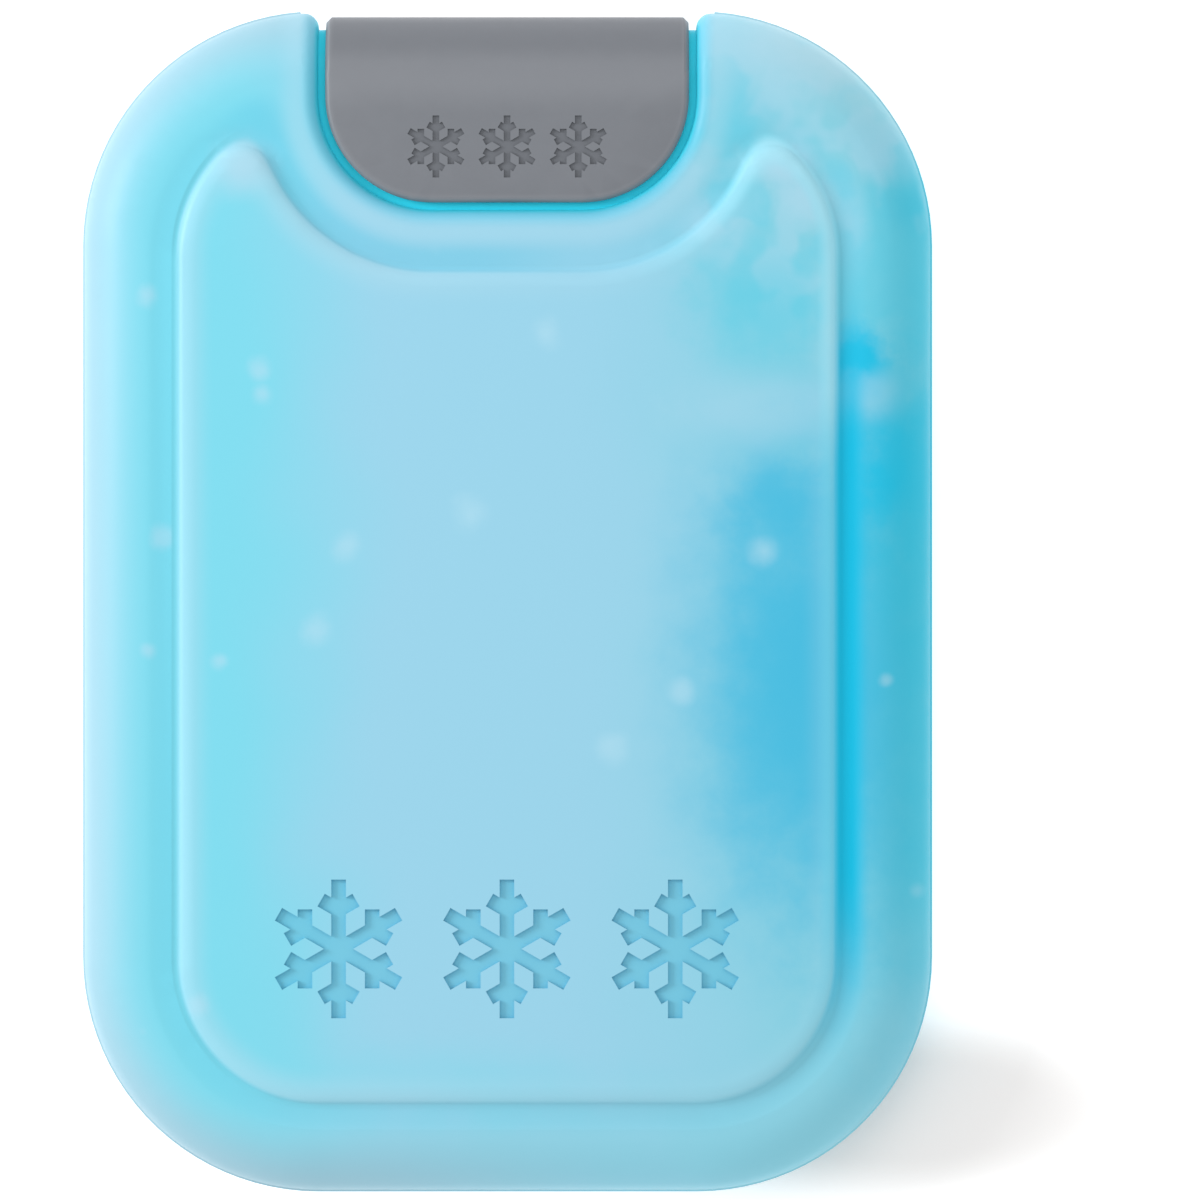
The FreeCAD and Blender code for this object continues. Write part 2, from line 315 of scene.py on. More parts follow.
class Effects:
    """The shader node groups that the finishes share.

    Attributes:
        SPECK_CORE: How far out a speck is even, as a share of its size.
        SPECK_SMALLEST: The smallest speck's size, as a share of the middle one's.
        SPECK_FAINTEST: How much of the faintest speck shows.
        FINE_HEIGHT: The fine grain's height, as a share of the broad waves'.
        SPREAD_SCALE: The scale of the change of roughness.
    """

    SPECK_CORE = 0.15
    SPECK_SMALLEST = 0.5
    SPECK_FAINTEST = 0.4
    FINE_HEIGHT = 0.2
    SPREAD_SCALE = 0.25

    def __init__(self) -> None:
        """Builds every group once."""
        self.corner_distance = self._corner_distance()
        self.soft_patch = self._soft_patch()
        self.specks = self._specks()
        self.moulded_grain = self._moulded_grain()

    @staticmethod
    def _corner_distance() -> bpy.types.NodeTree:
        """The distance to a rounded corner's outline, negative inside. It takes the distances
        past the corner's centre.

        Returns:
            The group.
        """
        graph, inputs, outputs = new_group("corner_distance", [
            Port("Across"),
            Port("Along"),
            Port("Radius", default=10.0),
            Port("Distance", is_output=True),
        ])
        across, along, radius = (inputs.outputs[name] for name in ("Across", "Along", "Radius"))
        past_across = graph.math("MAXIMUM", across, 0.0)
        past_along = graph.math("MAXIMUM", along, 0.0)
        outside = graph.math("SQRT", graph.math("ADD", graph.math("POWER", past_across, 2.0),
                                                graph.math("POWER", past_along, 2.0)))
        inside = graph.math("MINIMUM", graph.math("MAXIMUM", across, along), 0.0)
        distance = graph.math("SUBTRACT", graph.math("ADD", outside, inside), radius)
        graph.feed(outputs.inputs["Distance"], distance)
        return graph.tree

    @staticmethod
    def _soft_patch() -> bpy.types.NodeTree:
        """A soft patch on the plan of the pack, as a mask. The stretch and the shift bring it to
        a unit circle round zero, the wobble makes its edge ragged, and its core is even.

        Returns:
            The group.
        """
        graph, inputs, outputs = new_group("soft_patch", [
            Port("Place", "NodeSocketVector"),
            Port("Stretch", "NodeSocketVector", default=(1.0, 1.0, 0.0)),
            Port("Shift", "NodeSocketVector"),
            Port("Wobble"),
            Port("Ragged"),
            Port("Core"),
            Port("Strength", default=1.0),
            Port("Mask", is_output=True),
        ])
        even = graph.reach(*(inputs.outputs[name] for name in ("Place", "Stretch", "Shift")))
        ragged = graph.math("MULTIPLY_ADD", inputs.outputs["Wobble"], inputs.outputs["Ragged"],
                            even)
        mask = graph.smooth(ragged, 1.0, inputs.outputs["Core"], high=inputs.outputs["Strength"])
        graph.feed(outputs.inputs["Mask"], mask)
        return graph.tree

    @classmethod
    def _specks(cls) -> bpy.types.NodeTree:
        """Sparse soft specks in random cells, as a mask.

        Returns:
            The group.
        """
        graph, inputs, outputs = new_group("specks", [
            Port("Place", "NodeSocketVector"),
            Port("Spacing", default=20.0),
            Port("Radius", default=1.5),
            Port("Share", default=0.4),
            Port("Mask", is_output=True),
        ])
        place, spacing, radius, share = (inputs.outputs[name] for name in
                                         ("Place", "Spacing", "Radius", "Share"))
        cells = graph.add("ShaderNodeTexVoronoi", feature="F1")
        graph.feed(cells.inputs["Vector"], place)
        graph.feed(cells.inputs["Scale"], graph.math("DIVIDE", 1.0, spacing))
        distance = graph.math("MULTIPLY", cells.outputs["Distance"], spacing)
        pick, growth, power = graph.add("ShaderNodeSeparateColor", cells.outputs["Color"]).outputs
        size = graph.math("MULTIPLY", graph.math("ADD", growth, cls.SPECK_SMALLEST), radius)
        dot = graph.smooth(graph.math("DIVIDE", distance, size), 1.0, cls.SPECK_CORE)
        is_there = graph.math("LESS_THAN", pick, share)
        strength = graph.math("MULTIPLY_ADD", power, 1.0 - cls.SPECK_FAINTEST, cls.SPECK_FAINTEST)
        graph.feed(outputs.inputs["Mask"],
                   graph.math("MULTIPLY", graph.math("MULTIPLY", dot, is_there), strength))
        return graph.tree

    @classmethod
    def _moulded_grain(cls) -> bpy.types.NodeTree:
        """The fine grain of a moulded surface: a height for bump and a changing roughness.

        Returns:
            The group.
        """
        graph, inputs, outputs = new_group("moulded_grain", [
            Port("Place", "NodeSocketVector"),
            Port("Grain", default=6.0),
            Port("Waviness", default=0.06),
            Port("Roughness", default=0.4),
            Port("Spread", default=0.06),
            Port("Height", is_output=True),
            Port("Surface", is_output=True),
        ])
        place = inputs.outputs["Place"]
        fine = graph.noise(place, inputs.outputs["Grain"], detail=3.0, roughness=0.6)
        broad = graph.noise(place, inputs.outputs["Waviness"], detail=1.0)
        change = graph.math("SUBTRACT", graph.noise(place, cls.SPREAD_SCALE, detail=4.0),
                            NOISE_MIDDLE)
        both_sides = graph.math("MULTIPLY", inputs.outputs["Spread"], 2.0)
        graph.feed(outputs.inputs["Height"],
                   graph.math("MULTIPLY_ADD", fine, cls.FINE_HEIGHT, broad))
        graph.feed(outputs.inputs["Surface"],
                   graph.math("MULTIPLY_ADD", change, both_sides, inputs.outputs["Roughness"]))
        return graph.tree


class Dress:
    """A material with its shader and its coordinates in millimetres."""

    def __init__(self, name: str) -> None:
        """Starts the material.

        Args:
            name: The material's name.
        """
        self.material = bpy.data.materials.new(name)
        self.material.use_nodes = True
        self.graph = Graph(self.material.node_tree)
        self.shader = self.graph.add("ShaderNodeBsdfPrincipled")
        self.graph.add("ShaderNodeOutputMaterial", self.shader.outputs["BSDF"])
        where = self.graph.add("ShaderNodeTexCoord")
        scaled = self.graph.add("ShaderNodeMapping", where.outputs["Object"])
        scaled.inputs["Scale"].default_value = (1 / MM, 1 / MM, 1 / MM)
        self.place = scaled.outputs["Vector"]

    def set(self, **values: object) -> None:
        """Sets or joins the shader's sockets, named with underscores for spaces."""
        for name, value in values.items():
            self.graph.feed(self.shader.inputs[name.replace("_", " ")], value)

    def bump(self, height: bpy.types.NodeSocket, depth: float) -> None:
        """Roughens the surface by a height.

        Args:
            height: The height's socket.
            depth: What a height of 1 stands for, in metres.
        """
        node = self.graph.add("ShaderNodeBump")
        self.graph.feed(node.inputs["Height"], height)
        self.graph.feed(node.inputs["Distance"], depth)
        self.graph.feed(node.inputs["Strength"], 1.0)
        self.set(Normal=node.outputs["Normal"])


@dataclass(frozen=True)
class MouldedSurface:
    """How a moulded plastic takes the light.

    Attributes:
        roughness: Its middle roughness.
        spread: How far the roughness goes to each side of that.
        grain: The scale of its fine grain.
        waviness: The scale of its broad waves.
        depth: How deep the waves are, in metres.
        ior: Its index of refraction.
        specular: How strongly it mirrors. 0.5 is what its index gives.
    """

    roughness: float = 0.40
    spread: float = 0.06
    grain: float = 6.0
    waviness: float = 0.06
    depth: float = 0.03 * MM
    ior: float = 1.45
    specular: float = 0.5

    def apply(self, dress: Dress, effects: Effects, colour: bpy.types.NodeSocket) -> None:
        """Gives a material its colour and this surface.

        Args:
            dress: The material.
            effects: The shared node groups.
            colour: The colour.
        """
        grain = dress.graph.group(effects.moulded_grain, place=dress.place, grain=self.grain,
                                  waviness=self.waviness, roughness=self.roughness,
                                  spread=self.spread)
        dress.set(Base_Color=colour, Roughness=grain.outputs["Surface"], IOR=self.ior,
                  Specular_IOR_Level=self.specular)
        dress.bump(grain.outputs["Height"], self.depth)


@dataclass(frozen=True)
class RoundedBox:
    """A rounded rectangle in plan, in millimetres.

    Attributes:
        half_across: Half its width.
        half_along: Half its length.
        radius: Its corners' radius.
        middle: Its middle along the pack.
    """

    half_across: float
    half_along: float
    radius: float
    middle: float = 0.0


@dataclass(frozen=True)
class RoundedCorner:
    """A rounded corner in plan, in millimetres.

    Attributes:
        x: Its centre's place across the pack.
        y: Its centre's place along the pack.
        radius: Its radius.
    """

    x: float
    y: float
    radius: float


@dataclass(frozen=True)
class Form:
    """The outlines of the pack's parts in plan, in millimetres, which the masks follow.

    Attributes:
        pack: The pack's outline.
        panel: The panel's outline, without its dip.
        cover: The lower right corner of the cover's flap.
        dip_distance: How far the panel's dip stays from the cover.
        ear_softness: How softly the panel's side runs over into the dip.
    """

    pack: RoundedBox = RoundedBox(64.75, 90.0, 35.6)
    panel: RoundedBox = RoundedBox(50.15, 75.7, 22.2, middle=-0.7)
    cover: RoundedCorner = RoundedCorner(11.4, 76.8, 16.2)
    dip_distance: float = 10.2
    ear_softness: float = 10.0


class Over(Enum):
    """What a step runs over: a place on the pack or a distance, in millimetres, or a noise."""

    ACROSS = "across the pack"
    ALONG = "along the pack"
    DRIFTING = "across the pack, with a slow drift"
    INTO_PACK = "in from the pack's outline"
    PAST_PANEL = "out from the panel's outline"
    PAST_COVER = "out from the cover's outline"
    VEIL = "a noise in the filling"


@dataclass(frozen=True)
class Step:
    """A smooth step.

    Attributes:
        over: What it runs over.
        start: Where it is 0.
        end: Where it is 1.
    """

    over: Over
    start: float
    end: float


class Zone(Enum):
    """The zones that the tones keep to. Each is the product of its steps."""

    MILKY = (Step(Over.DRIFTING, -44.0, -16.0),)
    HAZY = (Step(Over.DRIFTING, 10.0, 48.0),)
    CLEAR_VEIL = (Step(Over.VEIL, 0.50, 0.37),)
    FROSTED_VEIL = (Step(Over.VEIL, 0.50, 0.63),)
    LIT = (Step(Over.ACROSS, 25.0, -42.0),)
    FAR_LEFT = (Step(Over.ACROSS, -38.0, -48.0),)
    RIGHT = (Step(Over.ACROSS, 20.0, 50.0),)
    RIGHT_OF_COVER = (Step(Over.ACROSS, 26.0, 46.0),)
    ABOVE_BOTTOM = (Step(Over.ALONG, -72.0, -40.0),)
    BELOW_TOP = (Step(Over.ALONG, 50.0, 22.0),)
    ABOVE_SHOULDER = (Step(Over.ALONG, 60.0, 84.0),)
    BELOW_SHOULDER = (Step(Over.ALONG, 84.0, 60.0),)
    SHADED = (Step(Over.ACROSS, 15.0, 60.0), Step(Over.ALONG, -72.0, -40.0))
    SHOULDER = (Step(Over.ACROSS, 20.0, 45.0), Step(Over.ALONG, 18.0, 36.0))
    LEFT_DIP = (Step(Over.ACROSS, -46.0, -36.0), Step(Over.ACROSS, 14.0, -6.0),
                Step(Over.ALONG, 44.0, 50.0))
    RIM = (Step(Over.INTO_PACK, 11.5, 0.0),)
    VALLEY = (Step(Over.PAST_PANEL, 5.2, 2.0), Step(Over.PAST_PANEL, -0.9, -0.3))
    PAINTED_FOOT_SHADE = (Step(Over.PAST_PANEL, 0.9, 0.5), Step(Over.PAST_PANEL, -0.7, -0.2))
    WALL = (Step(Over.PAST_PANEL, -3.4, -1.2), Step(Over.PAST_PANEL, 0.5, -0.7))
    EDGE = (Step(Over.PAST_PANEL, -6.0, -1.0), Step(Over.PAST_PANEL, 0.2, -0.8))
    LIP = (Step(Over.PAST_COVER, 2.0, 4.0), Step(Over.PAST_COVER, 8.0, 4.5))
    SEAT = (Step(Over.PAST_COVER, 4.4, 0.6),)
    PAINTED_GAP_GLOW = (Step(Over.PAST_COVER, 1.9, 0.9),)
    COVER_PAINTED_SHEEN = (Step(Over.ALONG, 73.5, 79.0), Step(Over.ALONG, 84.5, 79.5))
    COVER_TOP_SHADE = (Step(Over.ALONG, 81.5, 85.0),)
    COVER_EDGE_HIGHLIGHT = (Step(Over.PAST_COVER, -1.4, -0.3),)


@dataclass(frozen=True)
class Tone:
    """A tint of a skin that keeps to zones.

    Attributes:
        tint: Its tint.
        zones: The zones that bound it.
        share: How much of it shows there.
        more: How much is added to the share in some zones.
        more_zones: Those zones.
    """

    tint: Tint
    zones: tuple[Zone, ...]
    share: float = 1.0
    more: float = 0.0
    more_zones: tuple[Zone, ...] = ()


@dataclass(frozen=True)
class MarkRow:
    """The painted shade of a row of marks sunk into a flat front face.

    Attributes:
        tint: The tint of its painted shade.
        share: How much of the tint shows.
        level: The face's height, in millimetres.
        depth: How deep the marks are sunk, in millimetres.
        middle: The row's middle along the pack, in millimetres.
        half_along: Half the row's reach along the pack, in millimetres.
        half_across: Half the row's reach across the pack, in millimetres.
    """

    tint: Tint
    share: float
    level: float
    depth: float
    middle: float
    half_along: float
    half_across: float

    def height(self, depths: float) -> float:
        """The height that lies some depths of the marks under the face."""
        return self.level - depths * self.depth


class Plan:
    """The places on the pack and the distances to its outlines, and the masks that they give."""

    def __init__(self, dress: Dress, effects: Effects, form: Form = Form()) -> None:
        """Works the distances out for a material.

        Args:
            dress: The material.
            effects: The shared node groups.
            form: The outlines.
        """
        self.graph = graph = dress.graph
        self.effects = effects
        self.place = dress.place
        self.masks: dict[Zone, bpy.types.NodeSocket] = {}
        self.x, self.y, self.z = graph.add("ShaderNodeSeparateXYZ", dress.place).outputs
        self.aside = graph.math("ABSOLUTE", self.x)
        past_cover = self._corner(graph.math("SUBTRACT", self.aside, form.cover.x),
                                  graph.math("SUBTRACT", form.cover.y, self.y), form.cover.radius)
        dip = graph.math("SUBTRACT", form.dip_distance, past_cover)
        past_panel = graph.math("SMOOTH_MAX", self._box(form.panel), dip, form.ear_softness)
        self.measures = {
            Over.ACROSS: self.x,
            Over.ALONG: self.y,
            Over.INTO_PACK: graph.math("MULTIPLY", self._box(form.pack), -1.0),
            Over.PAST_PANEL: past_panel,
            Over.PAST_COVER: past_cover,
        }

    def _corner(self, across: object, along: object, radius: float) -> bpy.types.NodeSocket:
        """The distance to a rounded corner's outline, negative inside."""
        return self.graph.group(self.effects.corner_distance, across=across, along=along,
                                radius=radius).outputs["Distance"]

    def _box(self, box: RoundedBox) -> bpy.types.NodeSocket:
        """The distance to a rounded rectangle's outline, negative inside.

        Args:
            box: The rectangle.

        Returns:
            The distance, in millimetres.
        """
        graph = self.graph
        along = graph.math("ABSOLUTE", graph.math("SUBTRACT", self.y, box.middle))
        return self._corner(graph.math("SUBTRACT", self.aside, box.half_across - box.radius),
                            graph.math("SUBTRACT", along, box.half_along - box.radius),
                            box.radius)

    def mask(self, zone: Zone) -> bpy.types.NodeSocket:
        """The mask of a zone, whose nodes are made once.

        Args:
            zone: The zone.

        Returns:
            The mask.
        """
        if zone not in self.masks:
            first, *others = (self.graph.smooth(self.measures[step.over], step.start, step.end)
                              for step in zone.value)
            self.masks[zone] = self.product(first, others)
        return self.masks[zone]

    def product(self, share: object, masks: list[bpy.types.NodeSocket]) -> object:
        """Multiplies a share by masks.

        Args:
            share: The share.
            masks: The masks.

        Returns:
            The product.
        """
        for mask in masks:
            share = self.graph.math("MULTIPLY", share, mask)
        return share

    def toned(self, colour: object, tones: tuple[Tone, ...],
              within: tuple[bpy.types.NodeSocket, ...] = ()) -> bpy.types.NodeSocket:
        """Lays tones over a colour, in order.

        Args:
            colour: The colour under them.
            tones: The tones.
            within: Masks that all of them keep to as well.

        Returns:
            The colour with the tones over it.
        """
        for tone in tones:
            share = tone.share
            if tone.more_zones:
                more = self.product(tone.more, [self.mask(zone) for zone in tone.more_zones])
                share = self.graph.math("ADD", more, share)
            share = self.product(share, [*(self.mask(zone) for zone in tone.zones), *within])
            colour = self.graph.mix(share, colour, tone.tint.rgba())
        return colour

    def marked(self, colour: bpy.types.NodeSocket, row: MarkRow) -> bpy.types.NodeSocket:
        """Paints shade into a row of sunk marks, from just under their face down to their floors.

        Args:
            colour: The colour of the face.
            row: The row.

        Returns:
            The colour with the row in it.
        """
        graph = self.graph
        along = graph.math("ABSOLUTE", graph.math("SUBTRACT", self.y, row.middle))
        masks = [
            graph.smooth(self.z, row.height(0.2), row.height(0.8)),
            graph.math("LESS_THAN", along, row.half_along),
            graph.math("LESS_THAN", self.aside, row.half_across),
            graph.math("GREATER_THAN", self.z, row.height(2.0)),
        ]
        return graph.mix(self.product(row.share, masks), colour, row.tint.rgba())


@dataclass(frozen=True)
class Ellipse:
    """An ellipse in plan, in millimetres.

    Attributes:
        x: Its middle's place across the pack.
        y: Its middle's place along the pack.
        across: Its half width.
        along: Its half length.
    """

    x: float
    y: float
    across: float
    along: float

    @property
    def stretch(self) -> tuple[float, float, float]:
        """The stretch that turns it into a unit circle."""
        return (1 / self.across, 1 / self.along, 0.0)

    @property
    def shift(self) -> tuple[float, float, float]:
        """The shift that then brings its middle to zero."""
        return (-self.x / self.across, -self.y / self.along, 0.0)


@dataclass(frozen=True)
class Cloud(Ellipse):
    """A patch in the frozen filling that shows through the skin.

    Attributes:
        tint: Its tint.
        strength: How much of it shows.
        ragged: How ragged its edge is.
        core: How far out it is even, as a share of its size.
    """

    tint: Tint
    strength: float = 1.0
    ragged: float = 1.0
    core: float = 0.0

    def mask(self, plan: Plan, wobble: bpy.types.NodeSocket) -> bpy.types.NodeSocket:
        """The cloud's mask.

        Args:
            plan: The places on the pack.
            wobble: What makes its edge ragged.

        Returns:
            The mask.
        """
        node = plan.graph.group(plan.effects.soft_patch, place=plan.place, wobble=wobble,
                                ragged=self.ragged, core=self.core, stretch=self.stretch,
                                shift=self.shift, strength=self.strength)
        return node.outputs["Mask"]


@dataclass(frozen=True)
class Frosting:
    """The sparse fine specks in the frozen filling.

    Attributes:
        spacing: How far apart they are, in millimetres.
        radius: The middle one's radius, in millimetres.
        share: How many of the places have one.
        strength: How much of them shows.
    """

    spacing: float = 14.0
    radius: float = 1.1
    share: float = 0.4
    strength: float = 0.4


@dataclass(frozen=True)
class FrozenPackFinish:
    """Satin translucent plastic with the frozen filling showing through it.

    The milky middle fades to clear cyan on the left and to deeper blue on the right. Light and
    shade
    are painted over it: the rim and the panel's edge are painted paler on the light side, the
    rim's upper right shoulder, the panel's wall there and the lip round the cover get painted
    highlights, and the rim on the shaded side, the valley, the groove, the wall's foot, the
    cover's seat and the marks' floors get painted shade. The panel's shaded walls and the gap
    beside the cover get a painted glow.

    Attributes:
        base: The tones of the whole filling, over its clear cyan.
        clouds: The patches in it.
        veil_patch: Where the fine veils at the upper right lie.
        veils: Their tones.
        frosting: The fine specks.
        flecks: The larger ones, each with its place and its radius, in millimetres.
        skin: The tones of painted light and shade over the filling, which follow the pack's form.
        marks: The row of sunk marks, with painted shade on their floors.
        surface: How it takes the light.
        drift_scale: The scale of the slow drift.
        drift_reach: How far the slow drift shifts the filling's tones, in millimetres.
        cloud_scale: The scale of the clouds' ragged edges and of the veils.
    """

    base: tuple[Tone, ...] = (
        Tone(Ice.MILKY, (Zone.MILKY,)),
        Tone(Ice.HAZE, (Zone.HAZY,), 0.85),
    )
    clouds: tuple[Cloud, ...] = (
        Cloud(50, 64, 34, 40, Ice.HAZE, 0.9, 0.8),
        # This one lays a deeper band across the bottom of the pack.
        Cloud(6, -84, 76, 17, Ice.HAZE, 0.65, 0.5),
        Cloud(59, -14, 24, 74, Ice.TEAL, 0.85, 0.4),
        Cloud(44, -10, 26, 58, Ice.BLUE, 1.0, 0.5),
        Cloud(45, -16, 18, 44, Ice.BLUE, 0.7, 0.6),
        Cloud(42, 14, 14, 11, Ice.BLUE, 0.7, 1.0),
        Cloud(38, 45, 15, 19, Ice.AQUA, 0.85, 0.8),
        Cloud(42, 46, 8, 10, Ice.AQUA, 0.7, 1.2, 0.3),
        Cloud(35, 74, 7, 7, Ice.AQUA, 0.75, 1.2),
        Cloud(60, 52, 14, 22, Ice.AQUA, 0.85, 0.9, 0.4),
        Cloud(62, 60, 7, 6, Ice.TEAL, 0.5, 1.1),
        Cloud(62, 14, 16, 38, Ice.TEAL, 0.95, 0.7),
        Cloud(60, 20, 14, 16, Ice.CLEAR_ICE_AND_GROOVE_SHADE, 0.95, 0.8),
        Cloud(53.5, 36.5, 6.5, 6.5, Ice.CLEAR_ICE_AND_GROOVE_SHADE, 0.95, 1.2, 0.3),
        Cloud(-12, -73, 44, 9, Ice.CYAN, 0.35, 0.8),
        Cloud(38, 29.5, 17, 8, Ice.FROST, 0.42, 1.3, 0.2),
        Cloud(55.5, 31.5, 8, 5.5, Ice.FROST, 0.42, 1.8),
        Cloud(57.5, 68, 7, 6, Ice.FROST, 0.6, 1.4, 0.3),
        Cloud(52, 57, 4.5, 10, Ice.FROST, 0.5, 1.2),
        Cloud(38, 84, 23, 14, Ice.FROST, 0.6, 1.1),
        Cloud(-40, 66, 7, 7, Ice.FROST, 0.9, 0.6),
        Cloud(42, 66.5, 6.5, 5, Ice.FROST, 0.9, 1.0, 0.2),
        Cloud(45, 61, 7, 6, Ice.FROST, 0.6, 1.4, 0.2),
        Cloud(31, 58, 9, 5, Ice.FROST, 0.5, 1.4, 0.2),
    )
    veil_patch: Cloud = Cloud(46, 66, 30, 30, Ice.FROST, 0.45, 0.6, 0.4)
    veils: tuple[Tone, ...] = (
        Tone(Ice.AQUA, (Zone.CLEAR_VEIL,)),
        Tone(Ice.FROST, (Zone.FROSTED_VEIL,)),
    )
    frosting: Frosting = Frosting()
    flecks: tuple[tuple[float, float, float], ...] = (
        (5.8, 40.5, 3.6), (-5.6, 13.0, 3.8), (39.0, 7.6, 3.4), (-24.0, 8.4, 3.2),
        (-29.0, -4.4, 3.8), (26.5, -13.6, 3.0), (15.6, -22.0, 3.6), (-37.4, 35.0, 2.8),
        (-37.2, 31.5, 2.4), (-54.5, 46.5, 2.4), (-52.2, 9.6, 2.6), (-54.4, -7.4, 2.0),
        (-43.4, -9.0, 2.0), (-47.0, -61.0, 2.6), (57.6, -12.0, 1.6), (62.4, -44.0, 1.8),
    )
    # Painted light and shade that follow the pack's form, one tone a line.
    skin: tuple[Tone, ...] = (
        # Painted light: a paler, greyer rim on the lit left side.
        Tone(Ice.RIM, (Zone.RIM, Zone.LIT)),
        # Painted shade: a deeper rim on the shaded right side, below the shoulder.
        Tone(Ice.SHADE, (Zone.RIM, Zone.SHADED, Zone.BELOW_SHOULDER), 0.6),
        # Painted light: a paler rim at the upper right shoulder, right of the cover.
        Tone(Ice.PAINTED_CREST_LIGHT, (Zone.RIM, Zone.ABOVE_SHOULDER, Zone.RIGHT_OF_COVER), 0.42),
        # Painted shade: a deeper valley all round the panel, more in the dip left of the cover.
        Tone(Ice.TEAL, (Zone.VALLEY,), 0.12, more=0.22, more_zones=(Zone.LEFT_DIP,)),
        # Painted shade: the deep groove beside the panel on the right.
        Tone(Ice.CLEAR_ICE_AND_GROOVE_SHADE, (Zone.VALLEY, Zone.RIGHT, Zone.ABOVE_BOTTOM, Zone.BELOW_TOP)),
        # Painted shade at the foot of the panel's wall on the far left.
        Tone(Ice.PAINTED_FOOT_SHADE, (Zone.PAINTED_FOOT_SHADE, Zone.FAR_LEFT), 0.8),
        # Painted glow on the panel's walls on the shaded side.
        Tone(Ice.GLOW, (Zone.WALL, Zone.SHADED), 0.55),
        # Painted light on the panel's wall at the upper right.
        Tone(Ice.PAINTED_WALL_LIGHT, (Zone.WALL, Zone.SHOULDER), 0.55),
        # Painted highlight along the panel's edge, stronger on the lit left side.
        Tone(Ice.PALE, (Zone.EDGE,), 0.2, more=0.35, more_zones=(Zone.LIT,)),
        # Painted highlight on the lip round the cover.
        Tone(Ice.PALE, (Zone.LIP,), 0.3),
        # Painted shade in the cover's seat.
        Tone(Ice.TEAL, (Zone.SEAT,), 0.8),
        # Painted glow in the gap beside the cover.
        Tone(Ice.PAINTED_GAP_GLOW, (Zone.PAINTED_GAP_GLOW,), 0.9),
    )
    # Painted shade on the floors of the sunk marks.
    marks: MarkRow = MarkRow(Ice.PAINTED_DEEP_SHADE, 0.75, level=17.0, depth=0.6, middle=-52.65,
                             half_along=10.8, half_across=43.2)
    surface: MouldedSurface = MouldedSurface(roughness=0.38, depth=0.02 * MM, specular=0.22)
    drift_scale: float = 0.045
    drift_reach: float = 14.0
    cloud_scale: float = 0.11

    def build(self, effects: Effects) -> bpy.types.Material:
        """Makes the material.

        Args:
            effects: The shared node groups.

        Returns:
            The material.
        """
        dress = Dress("frozen_pack_plastic")
        plan = Plan(dress, effects)
        colour = plan.toned(self._filling(plan), self.skin)
        self.surface.apply(dress, effects, plan.marked(colour, self.marks))
        return dress.material

    def _filling(self, plan: Plan) -> bpy.types.NodeSocket:
        """The colour of the frozen filling.

        Args:
            plan: The places on the pack.

        Returns:
            The colour.
        """
        graph, place = plan.graph, plan.place
        slow = graph.noise(place, self.drift_scale, detail=1.0)
        drift = graph.math("SUBTRACT", slow, NOISE_MIDDLE)
        plan.measures[Over.DRIFTING] = graph.math("MULTIPLY_ADD", drift, self.drift_reach, plan.x)
        plan.measures[Over.VEIL] = graph.noise(place, self.cloud_scale)
        rough = graph.noise(place, self.cloud_scale, detail=4.0, roughness=0.6)
        wobble = graph.math("SUBTRACT", rough, NOISE_MIDDLE)
        colour = plan.toned(Ice.CYAN.rgba(), self.base)
        for cloud in self.clouds:
            colour = graph.mix(cloud.mask(plan, wobble), colour, cloud.tint.rgba())
        colour = plan.toned(colour, self.veils, within=(self.veil_patch.mask(plan, wobble),))
        specks = graph.group(plan.effects.specks, place=place, spacing=self.frosting.spacing,
                             radius=self.frosting.radius, share=self.frosting.share)
        frosted = graph.math("MULTIPLY", specks.outputs["Mask"], self.frosting.strength)
        for x, y, radius in self.flecks:
            fleck = Cloud(x, y, radius, radius, Ice.FLECK, strength=0.55, ragged=1.4, core=0.1)
            frosted = graph.math("MAXIMUM", frosted, fleck.mask(plan, wobble))
        return graph.mix(frosted, colour, Ice.FLECK.rgba())


@dataclass(frozen=True)
class CoverFinish:
    """Satin grey moulded plastic, with a painted highlight across the flap and along its edge, and
    painted shade along its top and in its marks.

    Attributes:
        tones: The painted highlights and painted shade over its mottled grey.
        marks: The row of sunk marks, with painted shade on their floors.
        surface: How it takes the light.
        mottle_scale: The scale of its mottle.
    """

    tones: tuple[Tone, ...] = (
        # Painted highlight: a sheen band across the flap.
        Tone(Grey.PAINTED_SHEEN, (Zone.COVER_PAINTED_SHEEN,), 0.45),
        # Painted shade along the flap's top.
        Tone(Grey.PAINTED_DEEP_SHADE, (Zone.COVER_TOP_SHADE,), 0.3),
        # Painted highlight along the flap's edge.
        Tone(Grey.PAINTED_SHEEN, (Zone.COVER_EDGE_HIGHLIGHT,), 0.6),
    )
    # Painted shade on the floors of the sunk marks.
    marks: MarkRow = MarkRow(Grey.PAINTED_DEEP_SHADE, 0.8, level=15.15, depth=0.35, middle=69.0,
                             half_along=5.0, half_across=20.0)
    surface: MouldedSurface = MouldedSurface(roughness=0.45, spread=0.05, grain=5.0, waviness=0.1,
                                             specular=0.4)
    mottle_scale: float = 0.35

    def build(self, effects: Effects) -> bpy.types.Material:
        """Makes the material.

        Args:
            effects: The shared node groups.

        Returns:
            The material.
        """
        dress = Dress("cover_plastic")
        plan = Plan(dress, effects)
        mottle = dress.graph.noise(dress.place, self.mottle_scale, detail=5.0, roughness=0.6)
        colour = dress.graph.mix(mottle, Grey.SHADE.rgba(), Grey.BASE.rgba())
        colour = plan.marked(plan.toned(colour, self.tones), self.marks)
        self.surface.apply(dress, effects, colour)
        return dress.material


